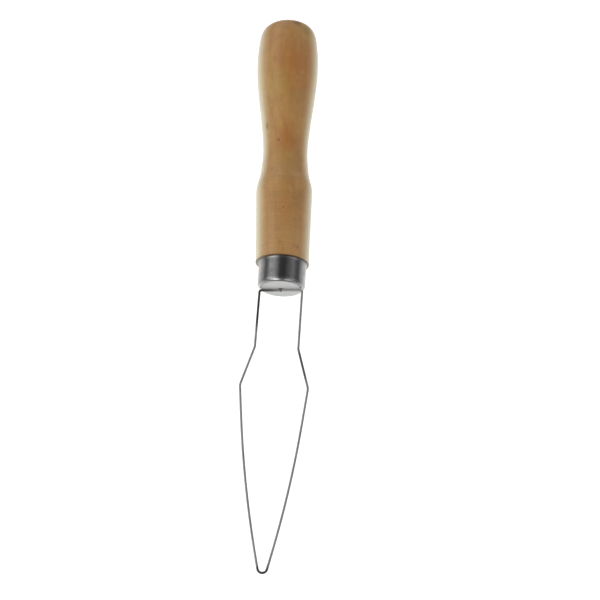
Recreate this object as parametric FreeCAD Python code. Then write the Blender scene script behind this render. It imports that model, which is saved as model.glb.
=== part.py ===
"""Clay modelling tool: a turned wooden handle, a drawn steel ferrule and a cutting loop of one bent wire.

Sizes are in millimetres. The tool lies level: +Z is up, and the loop reaches out along -Y in the
plane z = 0. The origin is on the ferrule's axis, halfway along the ferrule's straight band, which is
where a clip holds the tool. The grip runs towards +Y and leans a little to -X, about the origin.
"""

import FreeCAD, Part
import math
import os

Vector = FreeCAD.Vector
AXIS_START = Vector(0, 0, 0)
ALONG = Vector(0, 1, 0)
BACK = Vector(0, -1, 0)
OUT = Vector(1, 0, 0)
IN = Vector(-1, 0, 0)
UP = Vector(0, 0, 1)

# Ferrule: a drawn cup whose closed end faces the loop, with a slightly flared mouth.
ferrule_length = 9.9
ferrule_radius = 9.05
ferrule_wall = 0.45
ferrule_corner_radius = 1.8
flare_length = 1.2
flare_rise = 0.25
wire_hole_radius = 1.0
wire_hole_edge_radius = 0.05

# Handle: (radius, distance from the shoulder), where the shoulder is the face behind the ferrule.
grip_lean_degrees = 2.08
shoulder_gap = 0.35
shoulder_radius = 10.1
barrel_crest = (10.88, 29.4)
cove = [(10.6, 32.3), (9.52, 36.8), (9.05, 41.0)]
waist = (8.7, 46.4)
bulb_rise = [(9.43, 57.4), (10.8, 68.6), (11.76, 77.4)]
bulb_crown = (12.08, 86.0)
butt_rounding = [(11.52, 95.2), (9.7, 100.85), (6.5, 102.95)]
handle_length = 103.7
tenon_gap = 0.03
tenon_edge_radius = 1.6
tenon_root = 1.0
bore_radius = 1.15
bore_depth = 34.0
drill_point_angle = 118.0

# Wire loop: (half width, distance out) of each bend's sharp corner, measured from the ferrule's end face.
wire_radius = 0.45
face_clearance = 0.1
run_twist_degrees = 9.0
tail_spacing = 0.92
tail_depth = 31.0
leg_half_spacing = 8.14
kink_corner = (8.11, 23.7)
loop_corner = (12.6, 38.95)
side_corner = (8.34, 79.4)
tip_corner = (0.25, 114.5)
loop_shift = -0.15
tail_bend_radius = 0.65
leg_bend_radius = 0.6
kink_bend_radius = 3.0
loop_bend_radius = 4.0
side_bow_radius = 430.0
tip_bend_radius = 1.72

# Adhesive: fills the bore and the wire hole around the tails, and ends in a small bead between their bends.
glue_clearance = 0.01
glue_past_tails = 1.0
bead_radius = 0.66
bead_height = 1.1

# Worked out from the sizes above. The straight band lies between the face's corner and the flare.
band_length = ferrule_length - ferrule_corner_radius - flare_length
face_y = -band_length / 2 - ferrule_corner_radius
mouth_y = face_y + ferrule_length
shoulder_y = mouth_y + shoulder_gap
inner_radius = ferrule_radius - ferrule_wall
cup_floor_y = face_y + ferrule_wall
tenon_radius = inner_radius - tenon_gap
tenon_end_y = cup_floor_y + tenon_gap
run_y = face_y - wire_radius - face_clearance


def line(start, end):
    return Part.LineSegment(start, end).toShape()


def curve(points, start_direction, end_direction):
    """A smooth curve through the points, leaving and arriving along the given directions."""
    spline = Part.BSplineCurve()
    spline.interpolate(Points=points, InitialTangent=start_direction, FinalTangent=end_direction)
    return spline.toShape()


def rounded_path(corners):
    """A chain of straight and round stretches through (sharp corner, bend radius) pairs."""
    edges = []
    here = corners[0][0]
    for before, (corner, radius), after in zip(corners, corners[1:], corners[2:]):
        arriving = (before[0] - corner).normalize()
        leaving = (after[0] - corner).normalize()
        if radius > 0:
            half_angle = arriving.getAngle(leaving) / 2
            reach = radius / math.tan(half_angle)
            bisector = (arriving + leaving).normalize()
            middle = corner + bisector * (radius / math.sin(half_angle) - radius)
            start, end = corner + arriving * reach, corner + leaving * reach
            edges += [line(here, start), Part.Arc(start, middle, end).toShape()]
            here = end
        else:
            edges.append(line(here, corner))
            here = corner
    edges.append(line(here, corners[-1][0]))
    return edges


def turned(edges):
    """The solid that a closed half profile sweeps about the tool's axis."""
    return Part.Face(Part.Wire(edges)).revolve(AXIS_START, ALONG, 360)


def profile_point(radius, y):
    return Vector(radius, y, 0)


def handle_point(place):
    radius, from_shoulder = place
    return profile_point(radius, shoulder_y + from_shoulder)


def make_ferrule():
    """A cup of even wall thickness, with a hole in its closed end for the wire's two tails."""
    flare_y = mouth_y - flare_length
    flared = Vector(flare_rise, flare_length / 2, 0)
    mouth_outside = profile_point(ferrule_radius + flare_rise, mouth_y)
    mouth_inside = profile_point(inner_radius + flare_rise, mouth_y)
    band_end_outside = profile_point(ferrule_radius, flare_y)
    band_end_inside = profile_point(inner_radius, flare_y)
    cup = rounded_path(
        [
            (band_end_inside, 0),
            (profile_point(inner_radius, cup_floor_y), ferrule_corner_radius - ferrule_wall),
            (profile_point(wire_hole_radius, cup_floor_y), 0),
            (profile_point(wire_hole_radius, face_y), wire_hole_edge_radius),
            (profile_point(ferrule_radius, face_y), ferrule_corner_radius),
            (band_end_outside, 0),
        ]
    )
    mouth = [
        curve([band_end_outside, mouth_outside], ALONG, flared),
        line(mouth_outside, mouth_inside),
        curve([mouth_inside, band_end_inside], flared * -1, BACK),
    ]
    return turned(cup + mouth)


def make_handle():
    """A turned grip, cut square for a tenon that carries the ferrule, with a bore for the wire's tails."""
    bore_end_y = tenon_end_y + bore_depth
    drill_tip_y = bore_end_y + bore_radius / math.tan(math.radians(drill_point_angle / 2))
    crest, narrowest, crown = (handle_point(place) for place in (barrel_crest, waist, bulb_crown))
    butt = profile_point(0, shoulder_y + handle_length)
    blank_foot = profile_point(shoulder_radius, tenon_end_y)
    shoulder_edge = profile_point(shoulder_radius, shoulder_y)
    grip = turned(
        [
            line(profile_point(0, tenon_end_y), blank_foot),
            line(blank_foot, shoulder_edge),
            line(shoulder_edge, crest),
            curve([crest, *map(handle_point, cove), narrowest], crest - shoulder_edge, ALONG),
            curve([narrowest, *map(handle_point, bulb_rise), crown], ALONG, ALONG),
            curve([crown, *map(handle_point, butt_rounding), butt], ALONG, IN),
            line(butt, profile_point(0, tenon_end_y)),
        ]
    )
    grip.rotate(AXIS_START, UP, grip_lean_degrees)
    tenon = turned(
        rounded_path(
            [
                (profile_point(0, shoulder_y + tenon_root), 0),
                (profile_point(0, tenon_end_y), 0),
                (profile_point(tenon_radius, tenon_end_y), tenon_edge_radius),
                (profile_point(tenon_radius, shoulder_y + tenon_root), 0),
                (profile_point(0, shoulder_y + tenon_root), 0),
            ]
        )
    )
    waste = Part.makeCylinder(2 * shoulder_radius, ferrule_length, profile_point(0, shoulder_y), BACK)
    bore = turned(
        rounded_path(
            [
                (profile_point(0, face_y), 0),
                (profile_point(bore_radius, face_y), 0),
                (profile_point(bore_radius, bore_end_y), 0),
                (profile_point(0, drill_tip_y), 0),
                (profile_point(0, face_y), 0),
            ]
        )
    )
    return grip.cut(waste).fuse(tenon).cut(bore).removeSplitter().Solids[0]


def loop_point(half_width, out):
    """A point of the loop, which sits a little to one side of the ferrule's axis."""
    return Vector(half_width + loop_shift, face_y - out, 0)


def run_point(across, y):
    """A point of the wire's root, which is twisted about the ferrule's axis."""
    twist = math.radians(run_twist_degrees)
    return Vector(across * math.cos(twist), y, across * math.sin(twist))


def half_loop(side):
    """Bends of one half of the wire, from its tail in the bore to the bowed side of the loop."""
    tail_x = side * tail_spacing / 2
    root = [
        (run_point(tail_x, face_y + tail_depth), 0),
        (run_point(tail_x, run_y), tail_bend_radius),
        (run_point(side * leg_half_spacing, run_y), leg_bend_radius),
    ]
    shaped = [
        (kink_corner, kink_bend_radius),
        (loop_corner, loop_bend_radius),
        (side_corner, side_bow_radius),
    ]
    return root + [(loop_point(side * width, out), radius) for (width, out), radius in shaped]


def make_wire_loop():
    """One round wire: up one tail, across the end face, round the loop and back to the other tail."""
    tip = [(loop_point(*tip_corner), tip_bend_radius)]
    corners = half_loop(-1) + tip + half_loop(1)[::-1]
    path = Part.Wire(rounded_path(corners))
    section = Part.Wire(Part.makeCircle(wire_radius, corners[0][0], ALONG))
    return path.makePipeShell([section], True, True)


def make_adhesive_plug(wire_loop):
    """Cured adhesive around the two tails, level with the ferrule's end face but for a bead in the middle."""
    top_y = face_y + tail_depth + glue_past_tails
    wood_radius = bore_radius - glue_clearance
    neck_radius = wire_hole_radius - glue_clearance
    floor_y = tenon_end_y + glue_clearance
    bead_base_y = face_y - glue_clearance
    bead_top_y = bead_base_y - bead_height
    outline = rounded_path(
        [
            (profile_point(0, top_y), 0),
            (profile_point(wood_radius, top_y), 0),
            (profile_point(wood_radius, floor_y), 0),
            (profile_point(neck_radius, floor_y), 0),
            (profile_point(neck_radius, bead_base_y), 0),
            (profile_point(bead_radius, bead_base_y), 0),
        ]
    )
    bead = curve([profile_point(bead_radius, bead_base_y), profile_point(0, bead_top_y)], BACK, IN)
    plug = turned(outline + [bead, line(profile_point(0, bead_top_y), profile_point(0, top_y))])
    return plug.cut(wire_loop).Solids[0]


def main():
    wire_loop = make_wire_loop()
    pieces = {
        "handle": make_handle(),
        "ferrule": make_ferrule(),
        "wire_loop": wire_loop,
        "adhesive_plug": make_adhesive_plug(wire_loop),
    }
    os.makedirs("parts", exist_ok=True)
    for name, shape in pieces.items():
        shape.exportStep(f"parts/{name}.step")


if __name__ == "__main__":
    main()
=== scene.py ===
"""Looks for the clay modelling tool: turned and lacquered wood, a drawn steel ferrule and a wire loop.

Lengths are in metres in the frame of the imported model. The places and sizes that the materials name
are in millimetres of the same frame. The tool lies along Y, its butt at +Y and its loop's tip at -Y.
"""

import math

import bpy
import numpy as np
from mathutils import Matrix, Vector


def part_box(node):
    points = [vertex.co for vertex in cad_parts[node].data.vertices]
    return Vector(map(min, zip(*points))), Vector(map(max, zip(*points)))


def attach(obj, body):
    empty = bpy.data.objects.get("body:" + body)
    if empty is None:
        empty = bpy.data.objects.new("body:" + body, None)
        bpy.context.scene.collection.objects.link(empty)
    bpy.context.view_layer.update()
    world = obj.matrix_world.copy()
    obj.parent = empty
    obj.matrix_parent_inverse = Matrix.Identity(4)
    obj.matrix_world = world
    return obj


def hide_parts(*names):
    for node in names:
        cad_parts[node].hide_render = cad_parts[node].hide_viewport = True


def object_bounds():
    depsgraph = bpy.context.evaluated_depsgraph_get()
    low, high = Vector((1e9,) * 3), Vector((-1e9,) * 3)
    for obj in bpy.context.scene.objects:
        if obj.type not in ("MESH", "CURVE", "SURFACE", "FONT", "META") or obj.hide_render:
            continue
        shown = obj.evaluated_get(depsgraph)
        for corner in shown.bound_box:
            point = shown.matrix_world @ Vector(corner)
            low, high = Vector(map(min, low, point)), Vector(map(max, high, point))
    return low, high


MM = 0.001

# The grip leans towards -X about the frame's origin, which lies on the ferrule's axis.
grip_lean = math.radians(2.08)

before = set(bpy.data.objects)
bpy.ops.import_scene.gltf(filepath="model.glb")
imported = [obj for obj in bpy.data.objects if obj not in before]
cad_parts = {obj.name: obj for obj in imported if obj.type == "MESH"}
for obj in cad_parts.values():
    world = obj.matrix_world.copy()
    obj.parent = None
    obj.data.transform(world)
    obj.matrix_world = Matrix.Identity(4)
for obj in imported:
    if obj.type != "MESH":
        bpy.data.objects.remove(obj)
cad_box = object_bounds()


# ---------------------------------------------------------------- shader building blocks


def linear(red, green, blue):
    """A linear colour from display values between 0 and 255."""
    display = np.array([red, green, blue]) / 255
    low, high = display / 12.92, ((display + 0.055) / 1.055) ** 2.4
    return (*(float(v) for v in np.where(display <= 0.04045, low, high)), 1.0)


def grey(level):
    return (level, level, level, 1.0)


class Shader:
    """A node tree with one short method for each kind of node that the materials use."""

    def __init__(self, tree):
        self.tree = tree
        tree.nodes.clear()

    def node(self, kind, settings=None, inputs=None):
        made = self.tree.nodes.new(kind)
        for name, value in (settings or {}).items():
            setattr(made, name, value)
        for name, value in (inputs or {}).items():
            self.feed(made.inputs[name], value)
        return made

    def feed(self, socket, value):
        if isinstance(value, bpy.types.NodeSocket):
            self.tree.links.new(value, socket)
        else:
            socket.default_value = value

    def math(self, operation, *values):
        made = self.node("ShaderNodeMath", {"operation": operation})
        for socket, value in zip(made.inputs, values):
            self.feed(socket, value)
        return made.outputs[0]

    def vector(self, operation, *values):
        made = self.node("ShaderNodeVectorMath", {"operation": operation})
        for socket, value in zip(made.inputs, values):
            self.feed(socket, value)
        return made.outputs["Value" if operation in ("LENGTH", "DOT_PRODUCT") else "Vector"]

    def split(self, vector):
        """The three numbers that a vector is made of."""
        parts = self.node("ShaderNodeSeparateXYZ", inputs={"Vector": vector}).outputs
        return parts[0], parts[1], parts[2]

    def join(self, x, y, z):
        return self.node("ShaderNodeCombineXYZ", inputs={"X": x, "Y": y, "Z": z}).outputs[0]

    def stretch(self, vector, scale, offset=(0, 0, 0)):
        made = self.node("ShaderNodeMapping", inputs={"Vector": vector, "Scale": scale, "Location": offset})
        return made.outputs[0]

    def noise(self, vector, scale=1.0, detail=2.0, roughness=0.5):
        inputs = {"Vector": vector, "Scale": scale, "Detail": detail, "Roughness": roughness}
        return self.node("ShaderNodeTexNoise", inputs=inputs).outputs["Fac"]

    def cells(self, vector):
        return self.node("ShaderNodeTexVoronoi", inputs={"Vector": vector, "Scale": 1.0}).outputs

    def remap(self, value, low, high, to_low=0.0, to_high=1.0):
        """Value from low..high to to_low..to_high, eased at both ends and clamped."""
        inputs = {"Value": value, "From Min": low, "From Max": high, "To Min": to_low, "To Max": to_high}
        return self.node("ShaderNodeMapRange", {"interpolation_type": "SMOOTHSTEP"}, inputs).outputs[0]

    def ramp(self, value, stops):
        made = self.node("ShaderNodeValToRGB", inputs={"Fac": value})
        elements = made.color_ramp.elements
        while len(elements) < len(stops):
            elements.new(0.5)
        for element, (place, colour) in zip(elements, stops):
            element.position = place
            element.color = colour
        return made.outputs["Color"]

    def mix(self, share, first, second, blend="MIX"):
        """A colour between two others."""
        made = self.node("ShaderNodeMix", {"data_type": "RGBA", "blend_type": blend})
        for socket, value in ((made.inputs[0], share), (made.inputs[6], first), (made.inputs[7], second)):
            self.feed(socket, value)
        return made.outputs[2]

    def blend(self, share, first, second):
        """A number between two others."""
        made = self.node("ShaderNodeMix", {"data_type": "FLOAT"})
        for socket, value in ((made.inputs[0], share), (made.inputs[2], first), (made.inputs[3], second)):
            self.feed(socket, value)
        return made.outputs[0]

    def bump(self, height, strength, distance, normal=None):
        inputs = {"Height": height, "Strength": strength, "Distance": distance}
        if normal is not None:
            inputs["Normal"] = normal
        return self.node("ShaderNodeBump", inputs=inputs).outputs[0]

    def millimetres(self):
        """The point being shaded, in millimetres in the tool's frame."""
        place = self.node("ShaderNodeTexCoord").outputs["Object"]
        return self.vector("MULTIPLY", place, (1 / MM, 1 / MM, 1 / MM))

    def surface(self, **inputs):
        made = self.node("ShaderNodeBsdfPrincipled")
        for name, value in inputs.items():
            self.feed(made.inputs[name.replace("_", " ")], value)
        self.node("ShaderNodeOutputMaterial", inputs={"Surface": made.outputs[0]})


def new_material(name):
    material = bpy.data.materials.new(name)
    material.use_nodes = True
    return material, Shader(material.node_tree)


# ---------------------------------------------------------------- wood

pale_wood = linear(212, 158, 92)
dark_wood = linear(202, 148, 83)
warm_wood = linear(202, 130, 62)
green_wood = linear(206, 163, 87)
barrel_wood = linear(214, 166, 110)
yellow_cloud = linear(213, 168, 86)
red_cloud = linear(194, 131, 72)
pore_brown = linear(96, 62, 34)
speck_brown = linear(84, 58, 36)
knot_brown = linear(152, 92, 26)
scuff_brown = linear(96, 70, 44)
# Dark brown for the fine groove and for the painted shade in the gap behind the ferrule.
groove_and_gap_dark = linear(52, 38, 28)
# Pale cream painted along the handle's edges as a sheen.
painted_sheen_colour = linear(255, 249, 210)

# Each spot on the handle is (centre, size, strength): strongest at its centre and gone at its size.
warm_patches = [
    ((0.5, 86.0, 11.0), 13.0, 0.8),
    ((-1.5, 53.0, 9.0), 8.0, 0.75),
    ((1.0, 22.0, 10.0), 8.0, 0.3),
    ((-1.0, 6.5, 10.0), 3.0, 0.5),
]
green_patches = [
    ((-7.0, 77.0, 9.0), 9.0, 0.8),
    ((-2.0, 44.0, 9.0), 8.0, 0.5),
    ((3.0, 104.0, 7.0), 9.0, 0.85),
]
specks = [
    ((-2.6, 42.0, 8.7), 0.9, 0.7),
    ((5.6, 9.0, 9.0), 1.0, 0.6),
    ((-4.6, 53.5, 8.3), 0.8, 0.5),
    ((-1.0, 24.0, 10.6), 0.6, 0.5),
]
knots = [((-9.6, 60.2, 5.6), 1.2, 0.6)]
scuffs = [((-0.6, 104.6, 9.5), 3.0, 0.62), ((3.0, 102.6, 8.6), 4.0, 0.22)]

# The growth rings' pith lies this far beside and below the handle's axis.
pith_beside = 19.0
pith_below = 34.0
ring_spacing = 3.1
ring_drift = 0.05
ring_wander = 9.0
ring_ripple = 0.8

# Where along Y the barrel's tone and the turning tool's lines are at full strength, and where they end.
barrel_tone_full = 6.0
barrel_tone_ends = 32.0
turning_lines_full = 34.0
turning_lines_end = 50.0

# The fine groove where the barrel begins.
groove_y = 36.9

# The painted edge sheen grows with a power of the slant, from nothing at its start to its most at its end.
painted_sheen_falloff = 4.0
painted_sheen_starts = 0.035
painted_sheen_ends = 0.62
painted_sheen_most = 0.78
cloud_strength = 0.5


def wood_material(shoulder_y):
    """Pale close-grained wood under gloss lacquer. The shoulder behind the ferrule is at shoulder_y."""
    material, s = new_material("lacquered_wood")
    place = s.millimetres()
    x, y, z = s.split(place)
    wander = s.noise(s.stretch(place, (0.035, 0.012, 0.035)), detail=1.0)
    ripple = s.noise(s.stretch(place, (0.25, 0.03, 0.25)), detail=2.0)
    mottle = s.noise(s.stretch(place, (0.16, 0.1, 0.16), (3.1, 0.4, 7.7)), detail=3.0, roughness=0.6)
    clouds = s.noise(s.stretch(place, (0.42, 0.3, 0.42), (5.2, 1.3, 2.4)), detail=4.0, roughness=0.65)
    streaks = s.noise(s.stretch(place, (0.7, 0.03, 0.7)), detail=3.0, roughness=0.6)
    fibres = s.noise(s.stretch(place, (2.6, 0.07, 2.6)), detail=4.0, roughness=0.65)
    turning = s.noise(s.stretch(place, (0.03, 1.5, 0.03)), detail=3.0, roughness=0.7)
    turned_part = s.remap(y, turning_lines_end, turning_lines_full)

    def within(spots, lengthwise=1.0, softness=1.0):
        """The strength of the strongest spot here. Softness is the share of its size that fades."""
        strongest = 0.0
        for centre, size, strength in spots:
            reach = s.vector("MULTIPLY", s.vector("SUBTRACT", place, centre), (1.0, 1 / lengthwise, 1.0))
            waver = s.math("MULTIPLY_ADD", mottle, size, -0.5 * size)
            distance = s.math("ADD", s.vector("LENGTH", reach), waver)
            here = s.remap(distance, size, size * (1 - softness), 0.0, strength)
            strongest = s.math("MAXIMUM", strongest, here)
        return strongest

    # Ground colour, then the patches, then small clouds of a yellower and a redder tone.
    colour = s.mix(s.remap(mottle, 0.35, 0.65), pale_wood, dark_wood)
    colour = s.mix(within(warm_patches, lengthwise=1.4), colour, warm_wood)
    colour = s.mix(within(green_patches, lengthwise=1.4), colour, green_wood)
    colour = s.mix(s.remap(y, barrel_tone_ends, barrel_tone_full, 0.0, 0.5), colour, barrel_wood)
    colour = s.mix(s.remap(clouds, 0.47, 0.3, 0.0, cloud_strength), colour, yellow_cloud)
    colour = s.mix(s.remap(clouds, 0.53, 0.7, 0.0, cloud_strength), colour, red_cloud)

    # Growth rings: cylinders round a pith that runs outside the blank, almost along the handle.
    beside, above = s.math("ADD", x, pith_beside), s.math("ADD", z, pith_below)
    depth = s.math("MULTIPLY_ADD", y, ring_drift, s.vector("LENGTH", s.join(beside, 0.0, above)))
    depth = s.math("MULTIPLY_ADD", wander, ring_wander, depth)
    depth = s.math("MULTIPLY_ADD", ripple, ring_ripple, depth)
    ring_share = s.math("FRACT", s.math("DIVIDE", depth, ring_spacing))
    late_wood = s.math("MULTIPLY", s.remap(ring_share, 0.4, 0.93), s.remap(ring_share, 1.0, 0.93))

    # Grain: soft late wood, long streaks, fine fibres and faint lines left by the turning tool.
    grain = s.math("MULTIPLY_ADD", late_wood, -0.07, 1.06)
    grain = s.math("MULTIPLY_ADD", streaks, -0.16, grain)
    grain = s.math("MULTIPLY_ADD", fibres, 0.12, grain)
    grain = s.math("MULTIPLY_ADD", s.remap(turning, 0.3, 0.7, -0.05, 0.05), turned_part, grain)
    colour = s.mix(1.0, colour, s.join(grain, grain, grain), "MULTIPLY")

    # Pores, in a few of the cells of a pattern that is stretched along the handle, and a few specks.
    pore_cells = s.cells(s.stretch(place, (0.7, 0.2, 0.7)))
    in_pore = s.remap(pore_cells["Distance"], 0.14, 0.05)
    has_pore = s.remap(s.split(pore_cells["Color"])[0], 0.8, 0.84, 0.0, 0.3)
    colour = s.mix(s.math("MULTIPLY", in_pore, has_pore), colour, pore_brown)
    colour = s.mix(within(specks, lengthwise=1.3), colour, speck_brown)

    # Painted sheen: pale cream mixed into the wood's colour where the surface is seen at a slant across the
    # grain, standing in for the bright surroundings reflected along both edges. Seen end on, none is
    # painted.
    geometry = s.node("ShaderNodeNewGeometry").outputs
    around = s.vector("NORMALIZE", s.vector("CROSS_PRODUCT", geometry["Normal"], (0.0, 1.0, 0.0)))
    slant = s.math("ABSOLUTE", s.vector("DOT_PRODUCT", geometry["Incoming"], around))
    painted_sheen = s.remap(s.math("POWER", slant, painted_sheen_falloff), painted_sheen_starts, painted_sheen_ends, 0.0, painted_sheen_most)
    colour = s.mix(painted_sheen, colour, painted_sheen_colour)

    # Marks that the painted sheen doesn't cover: a small knot on the flank of the waist, and scuffs by the
    # butt.
    colour = s.mix(within(knots, lengthwise=2.2, softness=0.8), colour, knot_brown)
    colour = s.mix(within(scuffs), colour, scuff_brown)

    # Darker in the fine groove, and painted shade on the shoulder face behind the ferrule, in the gap where
    # the ferrule's mouth stops short of it.
    in_groove = s.remap(s.math("ABSOLUTE", s.math("SUBTRACT", y, groove_y)), 0.6, 0.1, 0.0, 0.08)
    colour = s.mix(in_groove, colour, groove_and_gap_dark)
    painted_gap_shade = s.remap(y, shoulder_y + 0.13, shoulder_y + 0.03, 0.0, 0.75)
    colour = s.mix(painted_gap_shade, colour, groove_and_gap_dark)

    turned_relief = s.bump(s.math("MULTIPLY", turning, turned_part), 0.10, 0.05 * MM)
    s.surface(
        Base_Color=colour,
        Roughness=s.remap(fibres, 0.2, 0.8, 0.42, 0.55),
        Normal=s.bump(fibres, 0.14, 0.05 * MM, turned_relief),
        Coat_Weight=0.9,
        Coat_Roughness=s.remap(mottle, 0.3, 0.7, 0.12, 0.22),
        Coat_IOR=1.5,
        Coat_Normal=s.bump(s.noise(place, 0.9), 0.06, 0.1 * MM),
    )
    return material


# ---------------------------------------------------------------- metal and adhesive

band_bright = linear(202, 201, 201)
band_dull = linear(184, 183, 184)
band_draw_mark = linear(150, 146, 148)
face_bright = linear(228, 230, 228)
face_dull = linear(210, 211, 209)

wire_bright = linear(214, 211, 210)
wire_dull = linear(194, 191, 188)
# Painted shade: dark patches at the root of the left leg, on the right slanted stretch and at the tip,
# standing in for darker reflections there.
painted_wire_shade = linear(62, 60, 60)
wire_shade_spots = [
    ((-8.0, -12.0, 0.0), 12.0, 0.9),
    ((9.6, -35.0, 0.0), 8.0, 0.7),
    ((0.0, -114.0, 0.0), 4.0, 0.8),
]

adhesive_pale = linear(150, 148, 142)
adhesive_dark = linear(118, 116, 110)


def ferrule_material():
    """Drawn steel: a bright band with draw lines along it, and a satin end face with fine scratches."""
    material, s = new_material("drawn_steel")
    place = s.millimetres()
    x, y, z = s.split(place)
    face_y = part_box("ferrule")[0].y / MM
    on_face = s.remap(y, face_y + 0.08, face_y + 0.01)
    around, along = s.math("MULTIPLY", s.math("ARCTAN2", x, z), 22.0), s.math("MULTIPLY", y, 0.22)
    draw_lines = s.noise(s.join(around, along, 0.0), detail=3.0)
    scratched = s.join(s.math("MULTIPLY", x, 0.3), 0.0, s.math("MULTIPLY", z, 4.0))
    scratches = s.noise(scratched, detail=4.0, roughness=0.6)
    smudges = s.noise(place, 0.4, detail=3.0, roughness=0.6)
    band = s.mix(s.remap(smudges, 0.35, 0.7), band_bright, band_dull)
    band = s.mix(s.remap(draw_lines, 0.5, 0.72, 0.0, 0.3), band, band_draw_mark)
    s.surface(
        Base_Color=s.mix(on_face, band, s.mix(scratches, face_bright, face_dull)),
        Metallic=s.blend(on_face, 1.0, 0.35),
        Roughness=s.blend(on_face, s.remap(smudges, 0.3, 0.75, 0.14, 0.24), 0.55),
        Normal=s.bump(s.blend(on_face, draw_lines, scratches), 0.22, 0.03 * MM),
    )
    return material


def wire_material():
    """Spring steel, with painted shade on one leg next to the ferrule, on a slanted stretch and at the tip.
    """
    material, s = new_material("spring_wire")
    place = s.millimetres()
    stains = s.noise(place, 0.12, detail=3.0, roughness=0.6)
    fine = s.noise(s.stretch(place, (9.0, 0.6, 9.0)), detail=3.0)
    darkness = 0.0
    for centre, reach, strength in wire_shade_spots:
        distance = s.vector("LENGTH", s.vector("SUBTRACT", place, centre))
        here = s.remap(distance, reach, 0.5 * reach, 0.0, strength)
        darkness = s.math("MAXIMUM", darkness, here)
    colour = s.mix(s.remap(stains, 0.35, 0.7), wire_bright, wire_dull)
    s.surface(
        Base_Color=s.mix(darkness, colour, painted_wire_shade),
        Metallic=0.6,
        Roughness=s.remap(fine, 0.3, 0.7, 0.24, 0.4),
        Normal=s.bump(fine, 0.2, 0.02 * MM),
    )
    return material


def adhesive_material():
    """Adhesive that has cured cloudy, in a glossy bead."""
    material, s = new_material("cured_adhesive")
    cloud = s.noise(s.millimetres(), 1.3, detail=3.0)
    s.surface(
        Base_Color=s.mix(cloud, adhesive_pale, adhesive_dark),
        Roughness=0.22,
        Transmission_Weight=0.2,
        Normal=s.bump(cloud, 0.2, 0.05 * MM),
    )
    return material


# ---------------------------------------------------------------- handle mesh

segments = 192
turning_angles = np.arange(segments) * 2 * math.pi / segments
grip_ring_spacing = 0.3 * MM
widest_bore = 2 * MM
shoulder_margin = 1 * MM
close = 0.01 * MM

# The grip's profile is evened out over a window of a few steps. The last stretch is kept as it is.
profile_step = 0.25 * MM
profile_window = 9
butt_kept = 8 * MM
butt_join_gap = 0.3 * MM

# The grip leans but its shoulder is square to the ferrule, so its first rings change from one to the other.
edge_round = 0.12 * MM
square_fade = 4.0 * MM


def handle_points():
    """The CAD handle's vertices, those of them on the grip, and where the shoulder is along Y."""
    points = np.array([vertex.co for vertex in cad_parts["handle"].data.vertices])
    radius = np.hypot(points[:, 0], points[:, 2])
    shoulder = points[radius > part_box("ferrule")[1].x][:, 1].min()
    bored = (radius < widest_bore) & (points[:, 1] < 0.5 * points[:, 1].max())
    on_grip = (points[:, 1] > shoulder + shoulder_margin) & ~bored
    return points, points[on_grip], shoulder


def turn_about_up(points, angle):
    """The points turned about the Z axis."""
    x, y, z = points.T
    turned_x = x * math.cos(angle) - y * math.sin(angle)
    turned_y = x * math.sin(angle) + y * math.cos(angle)
    return np.stack([turned_x, turned_y, z], axis=1)


def ring(radius, along):
    """One ring of vertices round the Y axis. Radius and place along the axis may differ at each angle."""
    x, z = radius * np.sin(turning_angles), radius * np.cos(turning_angles)
    return np.stack([x, np.broadcast_to(along, x.shape), z], axis=1)


def skin(name, start, rings, end):
    """A closed mesh over rings of vertices, with a pole at each end."""
    vertices = [tuple(start), *map(tuple, np.concatenate(rings)), tuple(end)]
    end_pole = len(vertices) - 1
    last_ring = end_pole - segments
    faces = []
    for i in range(segments):
        following = (i + 1) % segments
        faces.append((0, 1 + following, 1 + i))
        for first in range(1, last_ring, segments):
            second = first + segments
            faces.append((first + i, first + following, second + following, second + i))
        faces.append((last_ring + i, last_ring + following, end_pole))
    mesh = bpy.data.meshes.new(name)
    mesh.from_pydata(vertices, [], faces)
    mesh.shade_smooth()
    piece = bpy.data.objects.new(name, mesh)
    bpy.context.scene.collection.objects.link(piece)
    return piece


def inner_rings(points, shoulder):
    """The bore and the tenon, from the drill's tip out to the foot of the shoulder."""
    radius, along = np.hypot(points[:, 0], points[:, 2]), points[:, 1]
    tenon_end = along.min()
    bore_radius = radius[along < tenon_end + close].min()
    in_bore = (radius < bore_radius + close) & (along < 0.5 * along.max())
    tip = (0, along[in_bore].max(), 0)
    bore_end = along[in_bore & (radius > bore_radius - close)].max()
    rings = [ring(bore_radius, y) for y in (bore_end, tenon_end)]
    on_tenon = ~in_bore & (along < shoulder - close)
    for y in np.unique(np.round(along[on_tenon], 6)):
        rings.append(ring(radius[on_tenon & (np.abs(along - y) < 0.1 * close)].max(), y))
    rings.append(ring(rings[-1][0, 2], shoulder))
    return tip, rings


def grip_profile(points):
    """Places along the grip's own axis and the radius at each, evened out except at the butt."""
    straight = turn_about_up(points, -grip_lean)
    radius, along = np.hypot(straight[:, 0], straight[:, 2]), straight[:, 1]
    order = np.argsort(along)
    radius, along = radius[order], along[order]
    even = np.arange(along[0], along[-1] - butt_kept, profile_step)
    window = np.hanning(profile_window + 2)[1:-1]
    beyond = profile_window // 2
    padded = np.pad(np.interp(even, along, radius), beyond, "reflect", reflect_type="odd")
    smooth = np.convolve(padded, window / window.sum(), "valid")
    ending = along > even[-1] + butt_join_gap
    return np.append(even, along[ending]), np.append(smooth, radius[ending])


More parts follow.
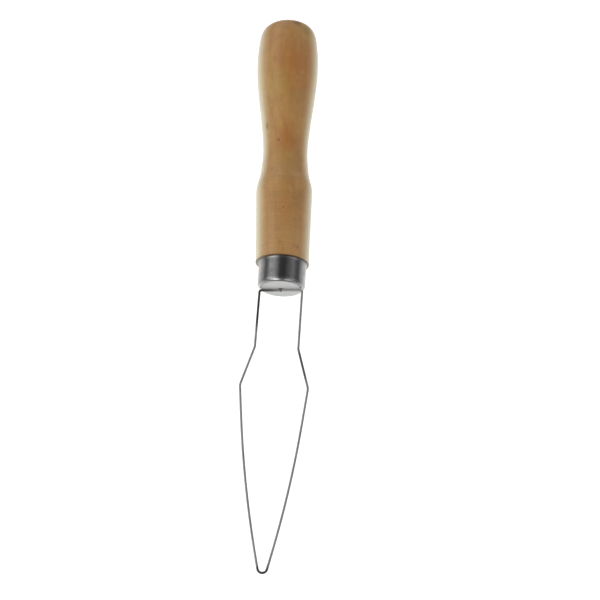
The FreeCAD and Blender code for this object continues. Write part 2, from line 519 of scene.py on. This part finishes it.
def grip_rings(points, shoulder):
    """Rings along the leaning grip, from the rounded edge of its shoulder, and the end of its butt."""
    along, radius = grip_profile(points)
    butt = along[-1]

    def radius_at(y):
        return np.interp(y, along, radius)

    lean_rise = radius[0] * np.sin(turning_angles) * math.tan(grip_lean)
    foot = shoulder / math.cos(grip_lean) - lean_rise
    edge = [(edge_round, 0.0), (0.3 * edge_round, 0.3 * edge_round), (0.0, edge_round)]
    rings = [ring(radius_at(foot) - inwards, foot + ahead) for inwards, ahead in edge]
    share = np.linspace(0, 1, int((butt - shoulder) / grip_ring_spacing))[1:-1]
    start = shoulder + 2 * edge_round
    for y in start + (butt - start) * np.sin(share * math.pi / 2):
        place = y + (foot - shoulder) * max(0.0, 1 - (y - shoulder) / square_fade)
        rings.append(ring(radius_at(place), place))
    butt_end = turn_about_up(np.array([[0, butt, 0]]), grip_lean)[0]
    return [turn_about_up(one, grip_lean) for one in rings], butt_end


def make_handle():
    """Stands a smooth turned skin, worked out from the CAD handle, in that handle's place."""
    points, grip_points, shoulder = handle_points()
    drill_tip, inner = inner_rings(points, shoulder)
    outer, butt_end = grip_rings(grip_points, shoulder)
    piece = skin("turned_handle", drill_tip, inner + outer, butt_end)
    piece.data.materials.append(wood_material(shoulder / MM))
    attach(piece, "root")
    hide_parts("handle")


def dress(node, material):
    """Gives a CAD node its finished material."""
    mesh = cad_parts[node].data
    mesh.materials.clear()
    mesh.materials.append(material)


# ---------------------------------------------------------------- stage

# How bright the table is to the camera, and to the tool from a low slant and from straight above.
table_size = 6.0
table_glow_seen = 0.86
table_glow_low = 0.02
table_glow_above = 0.97
table_paint_seen = (grey(0.76), grey(0.8))
table_paint_unseen = grey(0.3)

# The soft light that reaches rough surfaces, against what a mirror would see.
soft_fill_table = 1.4
soft_fill_tent = 1.03
soft_fill_sides = 1.0
soft_fill_lean = -0.09

# Brightness of the tent by angle round the tool's axis: 0 is overhead, negative is the side at -X.
tent_strips = [
    (-96, 0.17),
    (-82, 0.15),
    (-72, 0.28),
    (-62, 0.58),
    (-40, 0.56),
    (-24, 0.26),
    (-12, 0.062),
    (14, 0.055),
    (30, 0.15),
    (56, 0.27),
    (74, 0.12),
    (96, 0.12),
]
front_panel = 3.8
end_panel = 0.25
tent_seen = 1.25


def make_floor():
    """A table that glows from below, so that it only darkens where something stands close to it."""
    bpy.ops.mesh.primitive_plane_add(size=table_size, location=(0, 0, cad_box[0].z))
    floor = bpy.context.object
    floor.name = "floor"
    material, s = new_material("glowing_table")
    path = s.node("ShaderNodeLightPath").outputs
    seen = path["Is Camera Ray"]
    paint = s.mix(s.noise(s.millimetres(), 0.01), *table_paint_seen)

    # Far out beyond the loop the glow ends, because the tent is dark at the horizon there too.
    along, up = s.split(s.node("ShaderNodeNewGeometry").outputs["Incoming"])[1:]
    glow = s.math("MULTIPLY_ADD", up, table_glow_above - table_glow_low, table_glow_low)
    glow = s.math("MULTIPLY", glow, s.remap(along, 0.98, 0.86))
    glow = s.math("MULTIPLY", glow, s.blend(path["Is Diffuse Ray"], 1.0, soft_fill_table))
    s.surface(
        Base_Color=s.mix(seen, table_paint_unseen, paint),
        Roughness=0.9,
        Specular_IOR_Level=0.0,
        Emission_Color=grey(1.0),
        Emission_Strength=s.blend(seen, glow, table_glow_seen),
    )
    floor.data.materials.append(material)


def make_sky():
    """A tent of bright and dark strips round the tool's axis, which looks evenly pale from the camera."""
    world = bpy.data.worlds.new("tent")
    bpy.context.scene.world = world
    world.use_nodes = True
    s = Shader(world.node_tree)
    x, y, z = s.split(s.node("ShaderNodeTexCoord").outputs["Generated"])
    around = s.math("ADD", s.math("DIVIDE", s.math("ARCTAN2", x, z), 2 * math.pi), 0.5)
    stops = [(0.5 + degrees / 360, grey(level)) for degrees, level in tent_strips]
    strips = s.node("ShaderNodeRGBToBW", inputs={"Color": s.ramp(around, stops)}).outputs[0]

    # A bright panel beyond the loop, in two steps, which darkens at the horizon, and a weak one behind.
    front = s.math("ADD", s.remap(y, 0.2, -0.1, 0.0, 0.25), s.remap(y, -0.55, -0.8, 0.0, 0.75))
    light = s.math("MULTIPLY", strips, s.math("MULTIPLY_ADD", front, front_panel - 1, 1.0))
    light = s.math("MULTIPLY", light, s.remap(y, -0.96, -0.995, 1.0, 0.2))
    light = s.math("ADD", light, s.remap(y, 0.6, 0.8, 0.0, end_panel))

    # Rough surfaces get some more light from low down, and a little more from -X than from +X.
    path = s.node("ShaderNodeLightPath").outputs
    sideways = s.math("MULTIPLY_ADD", x, soft_fill_lean, soft_fill_sides)
    low_down = s.math("MULTIPLY", s.math("SUBTRACT", 1.0, z), sideways)
    soft_light = s.math("MULTIPLY_ADD", light, soft_fill_tent, low_down)
    light = s.blend(path["Is Diffuse Ray"], light, soft_light)
    strength = s.blend(path["Is Camera Ray"], light, tent_seen)
    background = s.node("ShaderNodeBackground", inputs={"Strength": strength})
    s.node("ShaderNodeOutputWorld", inputs={"Surface": background.outputs[0]})


# The camera aims a little past the ferrule's mouth towards the loop, and to the right of its axis.
camera_distance = 0.65
camera_tilt = math.radians(22)
camera_roll = math.radians(1.54)
camera_turn = math.radians(2.157)
camera_lens = 103.155
aim_right = 7.09 * MM
aim_past_mouth = 14.11 * MM
stand_past_mouth = 9.7 * MM


def make_camera():
    """Above the tool, a little in front of the loop, and squared up to the grip rather than the loop."""
    ferrule_mouth = Vector((0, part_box("ferrule")[1].y, 0))
    back = Vector((0, -math.sin(camera_tilt), math.cos(camera_tilt)))
    aim = ferrule_mouth + Vector((aim_right, -aim_past_mouth, 0))
    place = ferrule_mouth - Vector((0, stand_past_mouth, 0)) + back * camera_distance
    forward = (aim - place).normalized()
    up = Vector((0, math.cos(camera_tilt), math.sin(camera_tilt)))
    right = forward.cross(up).normalized()
    up = right.cross(forward)
    rolled_up = up * math.cos(camera_roll) - right * math.sin(camera_roll)
    rolled_right = forward.cross(rolled_up)
    axes = Matrix((rolled_right, rolled_up, -forward)).transposed()
    camera = bpy.data.objects.new("camera", bpy.data.cameras.new("camera"))
    camera.data.lens = camera_lens
    camera.data.clip_start = 0.01
    camera.matrix_world = Matrix.Rotation(camera_turn, 4, "Z") @ Matrix.Translation(place) @ axes.to_4x4()
    bpy.context.scene.collection.objects.link(camera)
    bpy.context.scene.camera = camera


make_handle()
dress("ferrule", ferrule_material())
dress("wire_loop", wire_material())
dress("adhesive_plug", adhesive_material())
make_floor()
make_sky()
make_camera()
bpy.context.scene.view_settings.view_transform = "Standard"
